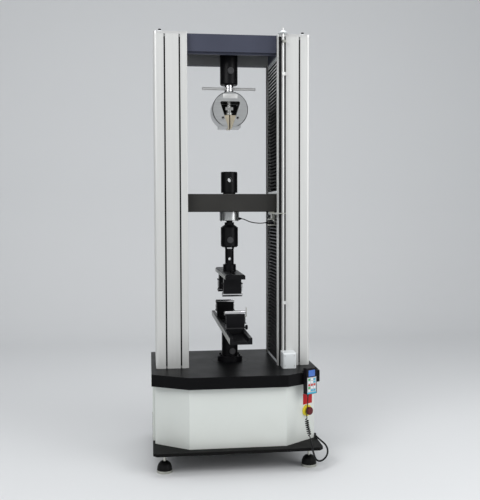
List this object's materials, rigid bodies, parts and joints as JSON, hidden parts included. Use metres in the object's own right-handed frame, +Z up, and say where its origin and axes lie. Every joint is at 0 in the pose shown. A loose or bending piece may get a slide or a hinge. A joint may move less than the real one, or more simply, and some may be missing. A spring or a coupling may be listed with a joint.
{
  "type": "universal testing machine",
  "caption": "Floor-standing materials tester: aluminium columns with bellows, screw-driven crosshead, load cell, wedge grip, roller bending fixture, limit rod and hand controller.",
  "frame": {"origin": "on the floor under the load axis, at the centre of the machine's outline without the handset cord", "axes": "+X to the operator's right, +Y to the back, +Z up along the load axis"},
  "size_m": [0.8681, 0.994, 2.178],
  "materials": {
    "white_paint": "satin",
    "black_paint": "satin",
    "grey_paint": "satin",
    "slate_paint": "satin",
    "anodised": "satin anodised",
    "steel": "ground",
    "zinc": "zinc plated",
    "chrome": "polished",
    "black_oxide": "blackened steel",
    "brass": "ground",
    "bellows": "matt",
    "rubber": "matt",
    "black_plastic": "fine grain",
    "white_plastic": "smooth",
    "keypad": "printed film",
    "yellow_plastic": "smooth",
    "red_plastic": "smooth",
    "cord": "smooth"
  },
  "bodies": {
    "frame": {"base_plate": "grey_paint", "foot_pads": "rubber", "foot_studs": "zinc", "front_cover": "white_paint", "side_panels": "white_paint", "rear_panel": "white_paint", "support_pillars": "grey_paint", "work_table": "black_paint", "servo_motor": "black_paint", "drive_belt": "rubber", "bearing_housings": "steel", "control_unit": "grey_paint", "columns": "anodised", "column_caps": "anodised", "guide_posts": "chrome", "top_beam": "slate_paint", "upper_bellows": "bellows", "lower_bellows": "bellows", "support_seat": "black_oxide", "support_beam": "black_oxide", "grip_adapter": "black_oxide", "anchor_pins": "black_oxide", "grip_neck": "chrome", "grip_body": "steel", "limit_guides": "zinc", "switch_box": "white_plastic", "cable_duct": "black_plastic", "handset_body": "black_plastic", "handset_face": "keypad", "handset_cord": "cord", "estop_ring": "yellow_plastic"},
    "crosshead": {"crosshead_beam": "grey_paint", "ball_nuts": "steel", "guide_bushes": "brass", "upper_coupling": "black_oxide", "load_cell": "steel", "cell_cable": "cord", "limit_bracket": "zinc", "lower_coupling": "black_oxide", "coupling_pin": "black_oxide", "lock_ring": "chrome", "bend_head": "black_oxide"},
    "left_screw": {"left_ball_screw": "steel"},
    "right_screw": {"right_ball_screw": "steel"},
    "drive_pulley": {"motor_pulley": "anodised"},
    "near_load_block": {"near_load_holder": "black_oxide"},
    "far_load_block": {"far_load_holder": "black_oxide"},
    "near_load_roll": {"near_load_roller": "steel"},
    "far_load_roll": {"far_load_roller": "steel"},
    "near_rest": {"near_support": "black_oxide"},
    "far_rest": {"far_support": "black_oxide"},
    "near_rest_roll": {"near_support_roller": "steel"},
    "far_rest_roll": {"far_support_roller": "steel"},
    "spindle": {"grip_spindle": "steel", "tommy_bar": "chrome"},
    "carrier": {"jaw_carrier": "steel"},
    "jaw_right": {"right_jaw": "brass"},
    "jaw_left": {"left_jaw": "brass"},
    "stop_rod": {"limit_rod": "chrome"},
    "stop_button": {"estop_button": "red_plastic"}
  },
  "joints": [
    {"name": "crosshead_travel", "type": "slide", "parent": "frame", "child": "crosshead", "axis": [0, 0, 1], "range_m": [-0.045, 0.2], "deforming": ["upper_bellows", "lower_bellows"]},
    {"name": "left_screw_turn", "type": "hinge", "parent": "frame", "child": "left_screw", "pos_m": [-0.31, 0, 1.2], "axis": [0, 0, 1], "continuous": true},
    {"name": "right_screw_turn", "type": "hinge", "parent": "frame", "child": "right_screw", "pos_m": [0.31, 0, 1.2], "axis": [0, 0, 1], "continuous": true},
    {"name": "motor_turn", "type": "hinge", "parent": "frame", "child": "drive_pulley", "pos_m": [0, -0.13, 0.34], "axis": [0, 0, 1], "continuous": true},
    {"name": "near_load_shift", "type": "slide", "parent": "crosshead", "child": "near_load_block", "axis": [0, 1, 0], "range_m": [-0.05, 0.05]},
    {"name": "far_load_shift", "type": "slide", "parent": "crosshead", "child": "far_load_block", "axis": [0, 1, 0], "range_m": [-0.05, 0.05]},
    {"name": "near_load_roll_turn", "type": "hinge", "parent": "near_load_block", "child": "near_load_roll", "pos_m": [0, -0.125, 0.837], "axis": [1, 0, 0], "continuous": true},
    {"name": "far_load_roll_turn", "type": "hinge", "parent": "far_load_block", "child": "far_load_roll", "pos_m": [0, 0.125, 0.837], "axis": [1, 0, 0], "continuous": true},
    {"name": "near_rest_shift", "type": "slide", "parent": "frame", "child": "near_rest", "axis": [0, 1, 0], "range_m": [-0.09, 0.09]},
    {"name": "far_rest_shift", "type": "slide", "parent": "frame", "child": "far_rest", "axis": [0, 1, 0], "range_m": [-0.09, 0.09]},
    {"name": "near_rest_roll_turn", "type": "hinge", "parent": "near_rest", "child": "near_rest_roll", "pos_m": [0, -0.25, 0.756], "axis": [1, 0, 0], "continuous": true},
    {"name": "far_rest_roll_turn", "type": "hinge", "parent": "far_rest", "child": "far_rest_roll", "pos_m": [0, 0.25, 0.756], "axis": [1, 0, 0], "continuous": true},
    {"name": "spindle_turn", "type": "hinge", "parent": "frame", "child": "spindle", "pos_m": [0, 0, 1.903], "axis": [0, 0, 1], "range_deg": [-30, 30]},
    {"name": "carrier_feed", "type": "slide", "parent": "frame", "child": "carrier", "axis": [0, 0, -1], "range_m": [-0.0011, 0.0011]},
    {"name": "right_jaw_close", "type": "slide", "parent": "frame", "child": "jaw_right", "axis": [-0.3082, 0, -0.9513], "range_m": [-0.0012, 0.0012]},
    {"name": "left_jaw_close", "type": "slide", "parent": "frame", "child": "jaw_left", "axis": [0.3082, 0, -0.9513], "range_m": [-0.0012, 0.0012]},
    {"name": "stop_rod_trip", "type": "slide", "parent": "frame", "child": "stop_rod", "axis": [0, 0, 1], "range_m": [-0.006, 0.006], "stiffness_N_per_m": 20000},
    {"name": "stop_button_press", "type": "slide", "parent": "frame", "child": "stop_button", "axis": [-0.5831, 0.8124, 0], "range_m": [0, 0.005], "stiffness_N_per_m": 2500}
  ],
  "couplings": [
    {"joint": "left_screw_turn", "follows": "crosshead_travel", "rad_per_m": -314.16},
    {"joint": "right_screw_turn", "follows": "crosshead_travel", "rad_per_m": -314.16},
    {"joint": "motor_turn", "follows": "crosshead_travel", "rad_per_m": -628.32},
    {"joint": "carrier_feed", "follows": "spindle_turn", "m_per_rad": 0.0019099},
    {"joint": "right_jaw_close", "follows": "spindle_turn", "m_per_rad": 0.0020076},
    {"joint": "left_jaw_close", "follows": "spindle_turn", "m_per_rad": 0.0020076}
  ]
}
